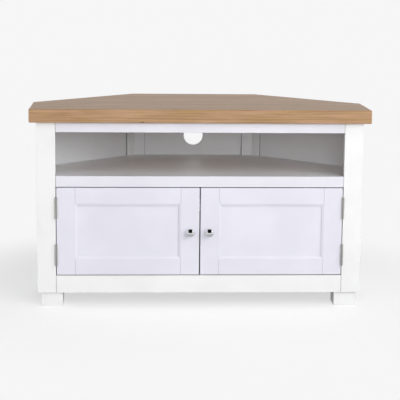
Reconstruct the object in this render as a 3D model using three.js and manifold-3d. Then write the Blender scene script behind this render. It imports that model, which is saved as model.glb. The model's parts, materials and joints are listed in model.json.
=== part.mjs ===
// Corner television cabinet: oak top, painted face frame, open media bay and two inset panelled doors.
// Units are millimetres. +Z is up, the front faces -Y, and the origin is the bottom centre of the whole box.
import * as THREE from 'three';
import { mergeVertices } from 'three/addons/utils/BufferGeometryUtils.js';
import Module from 'manifold-3d';

const wasm = await Module();
wasm.setup();

// Oak top: a rectangle with its two rear corners cut off at 45 degrees
const TOP_WIDTH = 1000;
const TOP_RETURN_DEPTH = 210;
const TOP_BACK_WIDTH = 400;
const TOP_THICKNESS = 40;
const TOP_ARRIS = 1.5;

// Heights of the front, from the floor up
const FOOT_HEIGHT = 42;
const BOTTOM_RAIL_HEIGHT = 52;
const DOOR_OPENING_HEIGHT = 266;
const SHELF_RAIL_HEIGHT = 32;
const BAY_HEIGHT = 129;
const TOP_RAIL_HEIGHT = 29;

// Face frame
const FRAME_OVERHANG = 16;
const SIDE_OVERHANG = 20;
const FRAME_THICKNESS = 22;
const STILE_WIDTH = 55;

// Panels of the case
const REAR_OVERHANG = 3;
const RETURN_THICKNESS = 18;
const PANEL_THICKNESS = 9;
const BOARD_THICKNESS = 18;
const PARTITION_THICKNESS = 18;
const CABLE_HOLE_DIAMETER = 62;
const CABLE_HOLE_BELOW_TOP = 135;

// Rear corner posts, which stand proud of the panels inside
const POST_PROUD = 7;
const POST_BACK_LEG = 34;
const POST_ANGLED_LEG = 32;
const POST_REBATE = 12;

// Battens, feet and the blocks that carry the feet
const BATTEN_SECTION = 20;
const BATTEN_END_GAP = 5;
const FOOT_WIDTH = 65;
const FOOT_SETBACK = 10;
const BLOCK_WIDTH = 52;

// Doors
const DOOR_THICKNESS = 20;
const DOOR_GAP = 2.6;
const CENTRE_GAP = 3.6;
const DOOR_STILE_FLAT = 53.5;
const DOOR_RAIL_FLAT = 47.5;
const STICKING_WIDTH = 7.5;
const STICKING_DEPTH = 2.5;
const COPE_PLAY = 0.6;
const PANEL_RECESS = 5.5;
const GROOVE_WIDTH = 6;
const GROOVE_DEPTH = 9;
const GROOVE_PLAY = 1;

// Butt hinges
const HINGE_HEIGHT = 64;
const HINGE_INSET = 60;
const KNUCKLE_DIAMETER = 8;
const KNUCKLE_COUNT = 5;
const PIN_DIAMETER = 3.4;
const PIN_HEAD_DIAMETER = 5;
const PIN_HEAD_HEIGHT = 1.5;
const LEAF_THICKNESS = 1.6;
const LEAF_DEPTH = 17;

// Knobs and their screws
const KNOB_DIAMETER = 26;
const KNOB_PROJECTION = 26;
const KNOB_EDGE_INSET = 26.5;
const KNOB_BELOW_CENTRE = 1;
const KNOB_BASE_DIAMETER = 14;
const KNOB_BASE_HEIGHT = 1.2;
const KNOB_WAIST_HEIGHT = 4.5;
const KNOB_NECK_DIAMETER = 10;
const KNOB_HEAD_DEPTH = 17;
const SCREW_DIAMETER = 4;
const SCREW_HEAD_DIAMETER = 9;
const SCREW_HEAD_HEIGHT = 2.4;
const SCREW_THREAD_DEPTH = 10;

// Magnetic catch on the partition and its two strike plates
const CATCH_HEIGHT = 33;
const CATCH_WIDTH = 44;
const CATCH_DEPTH = 14;
const CATCH_BELOW_OPENING = 42;
const STRIKE_WIDTH = 14;
const STRIKE_HEIGHT = 30;
const STRIKE_THICKNESS = 1.2;
const STRIKE_EDGE_INSET = 4;

// Clearances and counts
const FIT = 0.3;
const OVERRUN = 5;
const CATCH_CLEARANCE = 0.5;
const ROUND_STEPS = 32;
const HOLE_STEPS = 48;
const SMALL_ROUND_STEPS = 20;

// Places worked out from the sizes above; depths are counted back from the front edge of the top
const FRAME_FRONT = FRAME_OVERHANG;
const FRAME_BACK = FRAME_FRONT + FRAME_THICKNESS;
const HALF_BODY = TOP_WIDTH / 2 - SIDE_OVERHANG;
const HALF_OPENING = HALF_BODY - STILE_WIDTH;
const CUT_RUN = (TOP_WIDTH - TOP_BACK_WIDTH) / 2;
const TOP_DEPTH = TOP_RETURN_DEPTH + CUT_RUN;
const FRAME_BOTTOM = FOOT_HEIGHT;
const DOOR_OPENING_BOTTOM = FRAME_BOTTOM + BOTTOM_RAIL_HEIGHT;
const DOOR_OPENING_TOP = DOOR_OPENING_BOTTOM + DOOR_OPENING_HEIGHT;
const SHELF_TOP = DOOR_OPENING_TOP + SHELF_RAIL_HEIGHT;
const BAY_TOP = SHELF_TOP + BAY_HEIGHT;
const CASE_TOP = BAY_TOP + TOP_RAIL_HEIGHT;
const FULL_HEIGHT = CASE_TOP + TOP_THICKNESS;
const SHELF_BOTTOM = SHELF_TOP - BOARD_THICKNESS;
const BASE_BOTTOM = DOOR_OPENING_BOTTOM - BOARD_THICKNESS;
const CASE_BACK = TOP_DEPTH - REAR_OVERHANG;
const HALF_BACK = TOP_BACK_WIDTH / 2 + TOP_DEPTH - REAR_OVERHANG * Math.SQRT2 - CASE_BACK;
const RETURN_INNER = HALF_BODY - RETURN_THICKNESS;
const POST_INSET = PANEL_THICKNESS + POST_PROUD;
const KNOB_FRONT = FRAME_FRONT - KNOB_PROJECTION;
const ORIGIN_DEPTH = (TOP_DEPTH + KNOB_FRONT) / 2;

// Door places
const DOOR_WIDTH = (2 * HALF_OPENING - 2 * DOOR_GAP - CENTRE_GAP) / 2;
const DOOR_HEIGHT = DOOR_OPENING_HEIGHT - 2 * DOOR_GAP;
const DOOR_BOTTOM = DOOR_OPENING_BOTTOM + DOOR_GAP;
const DOOR_TOP = DOOR_BOTTOM + DOOR_HEIGHT;
const DOOR_BACK = FRAME_FRONT + DOOR_THICKNESS;
const DOOR_OUTER = HALF_OPENING - DOOR_GAP;
const DOOR_INNER = DOOR_OUTER - DOOR_WIDTH;
const MEMBER_STILE = DOOR_STILE_FLAT + STICKING_WIDTH;
const MEMBER_RAIL = DOOR_RAIL_FLAT + STICKING_WIDTH;
const KNOB_X = DOOR_INNER + KNOB_EDGE_INSET;
const KNOB_Z = (DOOR_BOTTOM + DOOR_TOP) / 2 - KNOB_BELOW_CENTRE;

// Hinge places: the pin stands proud of the frame by half its knuckle
const AXIS_X = HALF_OPENING - DOOR_GAP / 2;
const AXIS_Y = FRAME_FRONT - KNUCKLE_DIAMETER / 2;
const LEAF_START = FRAME_FRONT + FIT;
const LEAF_END = FRAME_FRONT + LEAF_DEPTH;
const KNUCKLE_PITCH = HINGE_HEIGHT / KNUCKLE_COUNT;
const HINGE_CENTRES = { upper: DOOR_TOP - HINGE_INSET, lower: DOOR_BOTTOM + HINGE_INSET };

// Catch places
const CATCH_FRONT = DOOR_BACK + STRIKE_THICKNESS + CATCH_CLEARANCE;
const PARTITION_FRONT = CATCH_FRONT + CATCH_DEPTH + FIT;
const CATCH_TOP = DOOR_OPENING_TOP - CATCH_BELOW_OPENING;

// Finishes
const finish = (color, roughness, metalness = 0) =>
  new THREE.MeshStandardMaterial({ color, roughness, metalness });
const oak = () => finish('#c19a74', 0.5);
const whitePaint = () => finish('#ecebf2', 0.42);
const innerPaint = () => finish('#e4e4e6', 0.5);
const bareWood = () => finish('#cdb593', 0.7);
const nickel = () => finish('#a3a39a', 0.35, 1);
const chrome = () => finish('#d8dade', 0.08, 1);
const whitePlastic = () => finish('#e8e8e4', 0.45);

const part = new THREE.Group();
part.position.set(0, -ORIGIN_DEPTH, 0);

const addPiece = (name, geometry, material) => {
  const mesh = new THREE.Mesh(geometry, material);
  mesh.name = name;
  part.add(mesh);
  return mesh;
};

// A block between two corners, as [x, y, z] lows and highs in either order
const block = (a, b) => {
  const size = [0, 1, 2].map((i) => Math.abs(b[i] - a[i]));
  const geometry = new THREE.BoxGeometry(...size);
  geometry.translate(...[0, 1, 2].map((i) => (a[i] + b[i]) / 2));
  return geometry;
};

const shapeFrom = (points) => new THREE.Shape(points.map(([x, y]) => new THREE.Vector2(x, y)));

// A board with a plan outline, standing from one height to another
const upright = (points, bottom, top) => {
  const options = { depth: top - bottom, bevelEnabled: false };
  const geometry = new THREE.ExtrudeGeometry(shapeFrom(points), options);
  geometry.translate(0, 0, bottom);
  return geometry;
};

const upCylinder = (diameter, bottom, top, steps, x = 0, y = 0) => {
  const geometry = new THREE.CylinderGeometry(diameter / 2, diameter / 2, top - bottom, steps);
  geometry.rotateX(Math.PI / 2);
  geometry.translate(x, y, (bottom + top) / 2);
  return geometry;
};

// A rod or hole along Y
const depthCylinder = (diameter, front, back, steps, x, z) => {
  const geometry = new THREE.CylinderGeometry(diameter / 2, diameter / 2, back - front, steps);
  geometry.translate(x, (front + back) / 2, z);
  return geometry;
};

// Joining and cutting
const toSolid = (geometry) => {
  const bare = geometry.clone();
  bare.deleteAttribute('normal');
  bare.deleteAttribute('uv');
  const merged = mergeVertices(bare);
  const mesh = new wasm.Mesh({
    numProp: 3,
    vertProperties: new Float32Array(merged.attributes.position.array),
    triVerts: new Uint32Array(merged.index.array),
  });
  mesh.merge();
  return new wasm.Manifold(mesh);
};

const toGeometry = (solid) => {
  const mesh = solid.getMesh();
  const geometry = new THREE.BufferGeometry();
  geometry.setAttribute('position', new THREE.BufferAttribute(new Float32Array(mesh.vertProperties), 3));
  geometry.setIndex(new THREE.BufferAttribute(new Uint32Array(mesh.triVerts), 1));
  geometry.computeVertexNormals();
  return geometry;
};

const cut = (base, ...cutters) =>
  toGeometry(cutters.reduce((solid, cutter) => solid.subtract(toSolid(cutter)), toSolid(base)));
const join = (base, ...others) =>
  toGeometry(others.reduce((solid, other) => solid.add(toSolid(other)), toSolid(base)));

// The right-hand geometry, or its mirror image for the left
const mirrored = (geometry) => {
  const copy = geometry.clone();
  copy.scale(-1, 1, 1);
  const flat = copy.index ? copy.toNonIndexed() : copy;
  const position = flat.attributes.position;
  for (let i = 0; i < position.count; i += 3) {
    const [x, y, z] = [position.getX(i), position.getY(i), position.getZ(i)];
    position.setXYZ(i, position.getX(i + 1), position.getY(i + 1), position.getZ(i + 1));
    position.setXYZ(i + 1, x, y, z);
  }
  flat.computeVertexNormals();
  return flat;
};

const addPair = (name, geometry, material) => {
  addPiece(`${name}_right`, geometry, material());
  addPiece(`${name}_left`, mirrored(geometry), material());
};

// Points on the rear walls: a distance along from the outer rear corner, and an inset from the outside
const ROOT_HALF = Math.SQRT1_2;
const onAngled = (along, inset) => [
  HALF_BACK + (along - inset) * ROOT_HALF,
  CASE_BACK - (along + inset) * ROOT_HALF,
];
const onBack = (along, inset) => [HALF_BACK - along, CASE_BACK - inset];
const mitre = (inset) => inset * Math.tan(Math.PI / 8);
const angledAlongAtX = (x, inset) => (x - HALF_BACK) / ROOT_HALF + inset;
const POST_BACK_END = POST_BACK_LEG + mitre(POST_INSET);
const POST_ANGLED_END = POST_ANGLED_LEG + mitre(POST_INSET);

// Oak top
const topOutline = () => {
  const halfFront = TOP_WIDTH / 2;
  const halfBack = TOP_BACK_WIDTH / 2;
  return [
    [-halfFront, 0],
    [halfFront, 0],
    [halfFront, TOP_RETURN_DEPTH],
    [halfBack, TOP_DEPTH],
    [-halfBack, TOP_DEPTH],
    [-halfFront, TOP_RETURN_DEPTH],
  ];
};

const topBoard = () => {
  const geometry = new THREE.ExtrudeGeometry(shapeFrom(topOutline()), {
    depth: TOP_THICKNESS - FIT - 2 * TOP_ARRIS,
    bevelEnabled: true,
    bevelThickness: TOP_ARRIS,
    bevelSize: TOP_ARRIS,
    bevelOffset: -TOP_ARRIS,
    bevelSegments: 1,
  });
  geometry.translate(0, 0, CASE_TOP + FIT + TOP_ARRIS);
  return geometry;
};

addPiece('top_board', topBoard(), oak());

// Face frame: each stile is let in where the hinge leaves lie
const leafPocket = (centre, from, to) =>
  block(
    [from, FRAME_FRONT - OVERRUN, centre - HINGE_HEIGHT / 2 - FIT],
    [to, LEAF_END + FIT, centre + HINGE_HEIGHT / 2 + FIT],
  );
const FRAME_LEAF_OUTER = AXIS_X + FIT / 2 + LEAF_THICKNESS;
const DOOR_LEAF_INNER = AXIS_X - FIT / 2 - LEAF_THICKNESS;

const frameStile = () => {
  const blank = block([HALF_OPENING, FRAME_FRONT, FRAME_BOTTOM], [HALF_BODY, FRAME_BACK, CASE_TOP]);
  const pockets = Object.values(HINGE_CENTRES).map((centre) =>
    leafPocket(centre, HALF_OPENING - OVERRUN, FRAME_LEAF_OUTER + FIT));
  return cut(blank, ...pockets);
};

addPair('frame_stile', frameStile(), whitePaint);

const frameRail = (bottom, height) =>
  block(
    [-HALF_OPENING + FIT, FRAME_FRONT, bottom],
    [HALF_OPENING - FIT, FRAME_BACK, bottom + height],
  );

addPiece('top_rail', frameRail(BAY_TOP, TOP_RAIL_HEIGHT), whitePaint());
addPiece('shelf_rail', frameRail(DOOR_OPENING_TOP, SHELF_RAIL_HEIGHT), whitePaint());
addPiece('bottom_rail', frameRail(FRAME_BOTTOM, BOTTOM_RAIL_HEIGHT), whitePaint());

// Sides: a short straight return, then a thin panel at 45 degrees
const returnSideOutline = () => {
  const seat = PANEL_THICKNESS + FIT;
  return [
    [RETURN_INNER, FRAME_BACK + FIT],
    [HALF_BODY, FRAME_BACK + FIT],
    onAngled(angledAlongAtX(HALF_BODY, seat), seat),
    onAngled(angledAlongAtX(RETURN_INNER, seat), seat),
  ];
};

const angledSideOutline = () => {
  const rearEnd = POST_ANGLED_END - POST_REBATE + FIT;
  return [
    onAngled(rearEnd, PANEL_THICKNESS),
    onAngled(angledAlongAtX(HALF_BODY, PANEL_THICKNESS), PANEL_THICKNESS),
    onAngled(angledAlongAtX(HALF_BODY, 0), 0),
    onAngled(rearEnd, 0),
  ];
};

addPair('return_side', upright(returnSideOutline(), FRAME_BOTTOM, CASE_TOP), whitePaint);
addPair('angled_side', upright(angledSideOutline(), FRAME_BOTTOM, CASE_TOP), whitePaint);

// Rear posts, rebated at the back for both panels
const rearPostOutline = () => {
  const seat = PANEL_THICKNESS + FIT;
  return [
    onBack(POST_BACK_END, seat),
    onBack(POST_BACK_END, POST_INSET),
    onAngled(mitre(POST_INSET), POST_INSET),
    onAngled(POST_ANGLED_END, POST_INSET),
    onAngled(POST_ANGLED_END, seat),
    onAngled(POST_ANGLED_END - POST_REBATE, seat),
    onAngled(POST_ANGLED_END - POST_REBATE, 0),
    onBack(0, 0),
    onBack(POST_BACK_END - POST_REBATE, 0),
    onBack(POST_BACK_END - POST_REBATE, seat),
  ];
};

addPair('rear_post', upright(rearPostOutline(), FRAME_BOTTOM, CASE_TOP), whitePaint);

// Back panel with the round cable hole behind the media bay
const backPanel = () => {
  const halfWidth = HALF_BACK - (POST_BACK_END - POST_REBATE) - FIT;
  const panel = block(
    [-halfWidth, CASE_BACK - PANEL_THICKNESS, FRAME_BOTTOM],
    [halfWidth, CASE_BACK, CASE_TOP],
  );
  const hole = depthCylinder(
    CABLE_HOLE_DIAMETER,
    CASE_BACK - PANEL_THICKNESS - OVERRUN,
    CASE_BACK + OVERRUN,
    HOLE_STEPS,
    0,
    FULL_HEIGHT - CABLE_HOLE_BELOW_TOP,
  );
  return cut(panel, hole);
};

addPiece('back_panel', backPanel(), whitePaint());

// Boards that fill the plan of the case, notched round the rear posts
const boardHalfOutline = () => {
  const wall = PANEL_THICKNESS + FIT;
  const post = POST_INSET + FIT;
  return [
    [RETURN_INNER - FIT, FRAME_BACK + FIT],
    onAngled(angledAlongAtX(RETURN_INNER - FIT, wall), wall),
    onAngled(POST_ANGLED_END + FIT, wall),
    onAngled(POST_ANGLED_END + FIT, post),
    onAngled(mitre(post), post),
    onBack(POST_BACK_END + FIT, post),
    onBack(POST_BACK_END + FIT, wall),
  ];
};

const boardOutline = () => {
  const right = boardHalfOutline();
  const left = right.map(([x, y]) => [-x, y]).reverse();
  return [...right, ...left];
};

addPiece('media_shelf', upright(boardOutline(), SHELF_BOTTOM, SHELF_TOP), innerPaint());
addPiece('base_panel', upright(boardOutline(), BASE_BOTTOM, DOOR_OPENING_BOTTOM), innerPaint());

const centrePartition = () =>
  block(
    [-PARTITION_THICKNESS / 2, PARTITION_FRONT, DOOR_OPENING_BOTTOM + FIT],
    [PARTITION_THICKNESS / 2, CASE_BACK - PANEL_THICKNESS - FIT, SHELF_BOTTOM - FIT],
  );

addPiece('centre_partition', centrePartition(), innerPaint());

// Battens that hold the top and the shelf
const angledBatten = (top) => {
  const outer = PANEL_THICKNESS + FIT;
  const inner = outer + BATTEN_SECTION;
  const rearEnd = POST_ANGLED_END + BATTEN_END_GAP;
  const frontEnd = angledAlongAtX(RETURN_INNER, outer) - BATTEN_END_GAP;
  const outline = [
    onAngled(rearEnd, inner),
    onAngled(frontEnd, inner),
    onAngled(frontEnd, outer),
    onAngled(rearEnd, outer),
  ];
  return upright(outline, top - BATTEN_SECTION, top);
};

const straightBatten = (front, halfLength, top) =>
  block(
    [-halfLength, front, top - BATTEN_SECTION],
    [halfLength, front + BATTEN_SECTION, top],
  );

addPair('top_batten', angledBatten(CASE_TOP), bareWood);
addPair('shelf_batten', angledBatten(SHELF_BOTTOM - FIT), bareWood);
addPiece(
  'top_batten_front',
  straightBatten(FRAME_BACK + FIT, RETURN_INNER - BATTEN_END_GAP, CASE_TOP),
  bareWood(),
);
addPiece(
  'top_batten_back',
  straightBatten(
    CASE_BACK - PANEL_THICKNESS - FIT - BATTEN_SECTION,
    HALF_BACK - POST_BACK_END - FIT,
    CASE_TOP,
  ),
  bareWood(),
);

// Feet, set in from the faces above, each under a corner block
const foot = (outerX, frontY) =>
  block([outerX - FOOT_WIDTH, frontY, 0], [outerX, frontY + FOOT_WIDTH, FOOT_HEIGHT - FIT]);
const cornerBlock = (outerX, frontY) =>
  block([outerX - BLOCK_WIDTH, frontY, FRAME_BOTTOM], [outerX, frontY + BLOCK_WIDTH, BASE_BOTTOM - FIT]);

const REAR_FOOT_BACK = CASE_BACK - FOOT_SETBACK;
const REAR_FOOT_OUTER = HALF_BACK + CASE_BACK - FOOT_SETBACK * Math.SQRT2 - REAR_FOOT_BACK;
const REAR_BLOCK_BACK = CASE_BACK - POST_INSET - FIT;
const REAR_BLOCK_OUTER = onAngled(mitre(POST_INSET + FIT), POST_INSET + FIT)[0];

addPair('front_foot', foot(HALF_BODY - FOOT_SETBACK, FRAME_FRONT + FOOT_SETBACK), whitePaint);
addPair('rear_foot', foot(REAR_FOOT_OUTER, REAR_FOOT_BACK - FOOT_WIDTH), whitePaint);
addPair('front_block', cornerBlock(RETURN_INNER - FIT, FRAME_BACK + FIT), bareWood);
addPair('rear_block', cornerBlock(REAR_BLOCK_OUTER, REAR_BLOCK_BACK - BLOCK_WIDTH), bareWood);

// Door frame section: a flat face, a sloped edge, and a groove for the panel
const memberOutline = (width) => {
  const flat = width - STICKING_WIDTH;
  return [
    [0, 0],
    [flat, 0],
    [width, STICKING_DEPTH],
    [width, PANEL_RECESS],
    [width - GROOVE_DEPTH, PANEL_RECESS],
    [width - GROOVE_DEPTH, PANEL_RECESS + GROOVE_WIDTH],
    [width, PANEL_RECESS + GROOVE_WIDTH],
    [width, DOOR_THICKNESS],
    [0, DOOR_THICKNESS],
  ];
};

// What the rail ends are shaped over: the same section without its groove
const copeOutline = () => [
  [-OVERRUN, -OVERRUN],
  [DOOR_STILE_FLAT + COPE_PLAY, -OVERRUN],
  [DOOR_STILE_FLAT + COPE_PLAY, 0],
  [MEMBER_STILE + COPE_PLAY, STICKING_DEPTH],
  [MEMBER_STILE + COPE_PLAY, DOOR_THICKNESS + OVERRUN],
  [-OVERRUN, DOOR_THICKNESS + OVERRUN],
];

// Stiles of the right door; the outline runs inwards from the door's edge
const doorStile = (edgeX, inward) => {
  const points = memberOutline(MEMBER_STILE).map(([across, back]) => [
    edgeX + inward * across,
    FRAME_FRONT + back,
  ]);
  return upright(points, DOOR_BOTTOM, DOOR_TOP);
};

const hingeStile = () =>
  cut(
    doorStile(DOOR_OUTER, -1),
    ...Object.values(HINGE_CENTRES).map((centre) =>
      leafPocket(centre, DOOR_LEAF_INNER - FIT, DOOR_OUTER + OVERRUN)),
  );

const meetingStile = () =>
  cut(
    doorStile(DOOR_INNER, 1),
    depthCylinder(
      SCREW_DIAMETER + 2 * FIT,
      FRAME_FRONT - OVERRUN,
      DOOR_BACK + OVERRUN,
      SMALL_ROUND_STEPS,
      KNOB_X,
      KNOB_Z,
    ),
  );

// A rail lies along X: its section is stood up, then its ends are coped and tenoned
const railSection = (edgeZ, inward) => {
  const shape = shapeFrom(memberOutline(MEMBER_RAIL));
  const length = DOOR_WIDTH - 2 * DOOR_STILE_FLAT;
  const geometry = new THREE.ExtrudeGeometry(shape, { depth: length, bevelEnabled: false });
  const across = new THREE.Vector3(0, 0, inward);
  const back = new THREE.Vector3(0, 1, 0);
  const along = new THREE.Vector3().crossVectors(across, back);
  geometry.applyMatrix4(new THREE.Matrix4().makeBasis(across, back, along));
  const start = along.x > 0 ? DOOR_INNER + DOOR_STILE_FLAT : DOOR_OUTER - DOOR_STILE_FLAT;
  geometry.translate(start, FRAME_FRONT, edgeZ);
  return geometry;
};

const copeCutter = (edgeX, inward) => {
  const points = copeOutline().map(([across, back]) => [edgeX + inward * across, FRAME_FRONT + back]);
  return upright(points, DOOR_BOTTOM - OVERRUN, DOOR_TOP + OVERRUN);
};

const doorRail = (edgeZ, inward) => {
  const innerZ = edgeZ + inward * (MEMBER_RAIL - GROOVE_DEPTH - FIT);
  const reach = MEMBER_STILE - GROOVE_DEPTH + FIT;
  const tenon = block(
    [DOOR_INNER + reach, FRAME_FRONT + PANEL_RECESS + FIT, edgeZ],
    [DOOR_OUTER - reach, FRAME_FRONT + PANEL_RECESS + GROOVE_WIDTH - FIT, innerZ],
  );
  const coped = cut(railSection(edgeZ, inward), copeCutter(DOOR_INNER, 1), copeCutter(DOOR_OUTER, -1));
  return join(coped, tenon);
};

const doorPanel = () => {
  const sideReach = MEMBER_STILE - GROOVE_DEPTH + GROOVE_PLAY;
  const endReach = MEMBER_RAIL - GROOVE_DEPTH + GROOVE_PLAY;
  return block(
    [DOOR_INNER + sideReach, FRAME_FRONT + PANEL_RECESS + FIT, DOOR_BOTTOM + endReach],
    [DOOR_OUTER - sideReach, FRAME_FRONT + PANEL_RECESS + GROOVE_WIDTH - FIT, DOOR_TOP - endReach],
  );
};

addPair('door_hinge_stile', hingeStile(), whitePaint);
addPair('door_meeting_stile', meetingStile(), whitePaint);
addPair('door_top_rail', doorRail(DOOR_TOP, -1), whitePaint);
addPair('door_bottom_rail', doorRail(DOOR_BOTTOM, 1), whitePaint);
addPair('door_panel', doorPanel(), whitePaint);

// Butt hinge: the frame leaf takes the odd knuckles and the door leaf the even ones
const knuckleSpans = (centre, parity) => {
  const spans = [];
  for (let i = parity; i < KNUCKLE_COUNT; i += 2) {
    const bottom = centre - HINGE_HEIGHT / 2 + i * KNUCKLE_PITCH;
    spans.push([bottom + FIT / 2, bottom + KNUCKLE_PITCH - FIT / 2]);
  }
  return spans;
};

const hingeLeaf = (centre, side, parity) => {
  const near = AXIS_X + (side * FIT) / 2;
  const far = near + side * LEAF_THICKNESS;
  const half = HINGE_HEIGHT / 2;
  const plate = block([near, LEAF_START, centre - half], [far, LEAF_END, centre + half]);
  const spans = knuckleSpans(centre, parity);
  const barrels = spans.map(([low, high]) =>
    upCylinder(KNUCKLE_DIAMETER, low, high, ROUND_STEPS, AXIS_X, AXIS_Y));
  const necks = spans.map(([low, high]) => block([near, AXIS_Y, low], [far, LEAF_START + FIT, high]));
  const bore = upCylinder(
    PIN_DIAMETER + 2 * FIT,
    centre - half - OVERRUN,
    centre + half + OVERRUN,
    SMALL_ROUND_STEPS,
    AXIS_X,
    AXIS_Y,
  );
  return cut(join(plate, ...barrels, ...necks), bore);
};

const hingePin = (centre) => {
  const half = HINGE_HEIGHT / 2;
  const shaft = upCylinder(
    PIN_DIAMETER, centre - half, centre + half + FIT, SMALL_ROUND_STEPS, AXIS_X, AXIS_Y);
  const head = upCylinder(
    PIN_HEAD_DIAMETER,
    centre + half + FIT,
    centre + half + FIT + PIN_HEAD_HEIGHT,
    SMALL_ROUND_STEPS,
    AXIS_X,
    AXIS_Y,
  );
  return join(shaft, head);
};

for (const [level, centre] of Object.entries(HINGE_CENTRES)) {
  addPair(`${level}_hinge_frame_leaf`, hingeLeaf(centre, 1, 0), nickel);
  addPair(`${level}_hinge_door_leaf`, hingeLeaf(centre, -1, 1), nickel);
  addPair(`${level}_hinge_pin`, hingePin(centre), nickel);
}

// Knob: a round head on a short neck, turned from one piece and bored for its screw
const knobProfile = () => {
  const tip = KNOB_PROJECTION;
  const middle = tip - KNOB_HEAD_DEPTH / 2;
  const points = [
    [0, FIT],
    [KNOB_BASE_DIAMETER / 2, FIT],
    [KNOB_BASE_DIAMETER / 2, KNOB_BASE_HEIGHT],
    [KNOB_NECK_DIAMETER / 2, KNOB_WAIST_HEIGHT],
    [KNOB_NECK_DIAMETER / 2, tip - KNOB_HEAD_DEPTH],
  ];
  const startAngle = Math.asin(KNOB_NECK_DIAMETER / KNOB_DIAMETER);
  const arcSteps = ROUND_STEPS / 4;
  for (let i = 1; i < arcSteps; i += 1) {
    const angle = startAngle + ((Math.PI - startAngle) * i) / arcSteps;
    points.push([
      (KNOB_DIAMETER / 2) * Math.sin(angle),
      middle - (KNOB_HEAD_DEPTH / 2) * Math.cos(angle),
    ]);
  }
  points.push([0, tip]);
  return points.map(([x, y]) => new THREE.Vector2(x, y));
};

const knob = () => {
  const head = new THREE.LatheGeometry(knobProfile(), ROUND_STEPS);
  head.rotateX(Math.PI);
  head.translate(KNOB_X, FRAME_FRONT, KNOB_Z);
  const bore = depthCylinder(
    SCREW_DIAMETER + 2 * FIT,
    FRAME_FRONT - SCREW_THREAD_DEPTH - FIT,
    FRAME_FRONT + OVERRUN,
    SMALL_ROUND_STEPS,
    KNOB_X,
    KNOB_Z,
  );
  return cut(head, bore);
};

const knobScrew = () => {
  const headFront = DOOR_BACK + FIT;
  return join(
    depthCylinder(
      SCREW_DIAMETER, FRAME_FRONT - SCREW_THREAD_DEPTH, headFront, SMALL_ROUND_STEPS, KNOB_X, KNOB_Z),
    depthCylinder(
      SCREW_HEAD_DIAMETER, headFront, headFront + SCREW_HEAD_HEIGHT, SMALL_ROUND_STEPS, KNOB_X, KNOB_Z),
  );
};

addPair('knob', knob(), chrome);
addPair('knob_screw', knobScrew(), nickel);

// Double magnetic catch on the partition, with a strike plate on the back of each door
const catchBody = () =>
  block(
    [-CATCH_WIDTH / 2, CATCH_FRONT, CATCH_TOP - CATCH_HEIGHT],
    [CATCH_WIDTH / 2, CATCH_FRONT + CATCH_DEPTH, CATCH_TOP],
  );

const strikePlate = () => {
  const middle = CATCH_TOP - CATCH_HEIGHT / 2;
  const near = DOOR_INNER + STRIKE_EDGE_INSET;
  return block(
    [near, DOOR_BACK + FIT, middle - STRIKE_HEIGHT / 2],
    [near + STRIKE_WIDTH, DOOR_BACK + STRIKE_THICKNESS, middle + STRIKE_HEIGHT / 2],
  );
};

addPiece('catch_body', catchBody(), whitePlastic());
addPair('strike_plate', strikePlate(), nickel);

export default part;
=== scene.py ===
"""Corner television cabinet: the finish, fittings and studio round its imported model.

The file is laid out as an add-on and run as a script. Everything is in metres, in the frame of the
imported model: +X to the viewer's right, +Y to the corner, +Z up, and the floor at zero.
"""

import json
import math

import bmesh
import bpy
from bpy.props import FloatProperty, FloatVectorProperty, IntProperty, PointerProperty
from mathutils import Matrix, Vector


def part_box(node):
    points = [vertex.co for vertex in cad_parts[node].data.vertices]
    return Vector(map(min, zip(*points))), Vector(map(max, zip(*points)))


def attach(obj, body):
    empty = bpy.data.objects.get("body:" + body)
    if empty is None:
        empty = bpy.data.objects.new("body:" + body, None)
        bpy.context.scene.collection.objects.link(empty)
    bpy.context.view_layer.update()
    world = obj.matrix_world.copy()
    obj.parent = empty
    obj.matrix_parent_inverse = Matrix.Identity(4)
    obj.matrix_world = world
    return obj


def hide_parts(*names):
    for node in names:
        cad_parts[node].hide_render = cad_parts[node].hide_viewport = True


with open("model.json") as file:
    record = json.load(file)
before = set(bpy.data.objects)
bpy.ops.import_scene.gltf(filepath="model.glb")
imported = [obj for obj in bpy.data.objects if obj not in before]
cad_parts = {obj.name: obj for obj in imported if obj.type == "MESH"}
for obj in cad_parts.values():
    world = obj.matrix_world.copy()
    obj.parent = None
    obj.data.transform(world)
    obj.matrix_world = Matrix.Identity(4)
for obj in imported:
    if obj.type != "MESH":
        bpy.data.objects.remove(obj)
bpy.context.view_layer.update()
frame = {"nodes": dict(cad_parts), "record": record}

bl_info = {
    "name": "Corner Television Cabinet",
    "version": (1, 0, 0),
    "blender": (4, 5, 0),
    "location": "3D View > Sidebar > Cabinet",
    "description": "Dresses the pieces of a corner television cabinet and sets its studio",
    "category": "Object",
}

MM = 0.001
SIDES = {"right": 1, "left": -1}

BODY_OF = {
    node: body
    for body, nodes in frame["record"]["behaviour"]["bodies"].items()
    for node in nodes
}


def linear(hex_colour):
    """Turn an sRGB hex colour into linear red, green and blue."""
    channels = [int(hex_colour[i:i + 2], 16) / 255 for i in (1, 3, 5)]
    return [c / 12.92 if c <= 0.04045 else ((c + 0.055) / 1.055) ** 2.4 for c in channels]


# Settings

def length(name, description, default):
    """A length that the user can change, in metres."""
    return FloatProperty(
        name=name, description=description, default=default, min=0.0, soft_max=1.0,
        precision=5, subtype="DISTANCE", unit="LENGTH",
    )


def colour(name, description, hex_colour):
    """A colour that the user can change."""
    return FloatVectorProperty(
        name=name, description=description, default=linear(hex_colour), size=3,
        min=0.0, max=1.0, subtype="COLOR",
    )


def share(name, description, default):
    """A number from 0 to 1 that the user can change."""
    return FloatProperty(
        name=name, description=description, default=default, min=0.0, max=1.0, subtype="FACTOR",
    )


def level(name, description, default):
    """How strongly something is lit, where 1 shows a colour as it is written."""
    return FloatProperty(name=name, description=description, default=default, min=0.0, soft_max=2.0)


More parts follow.
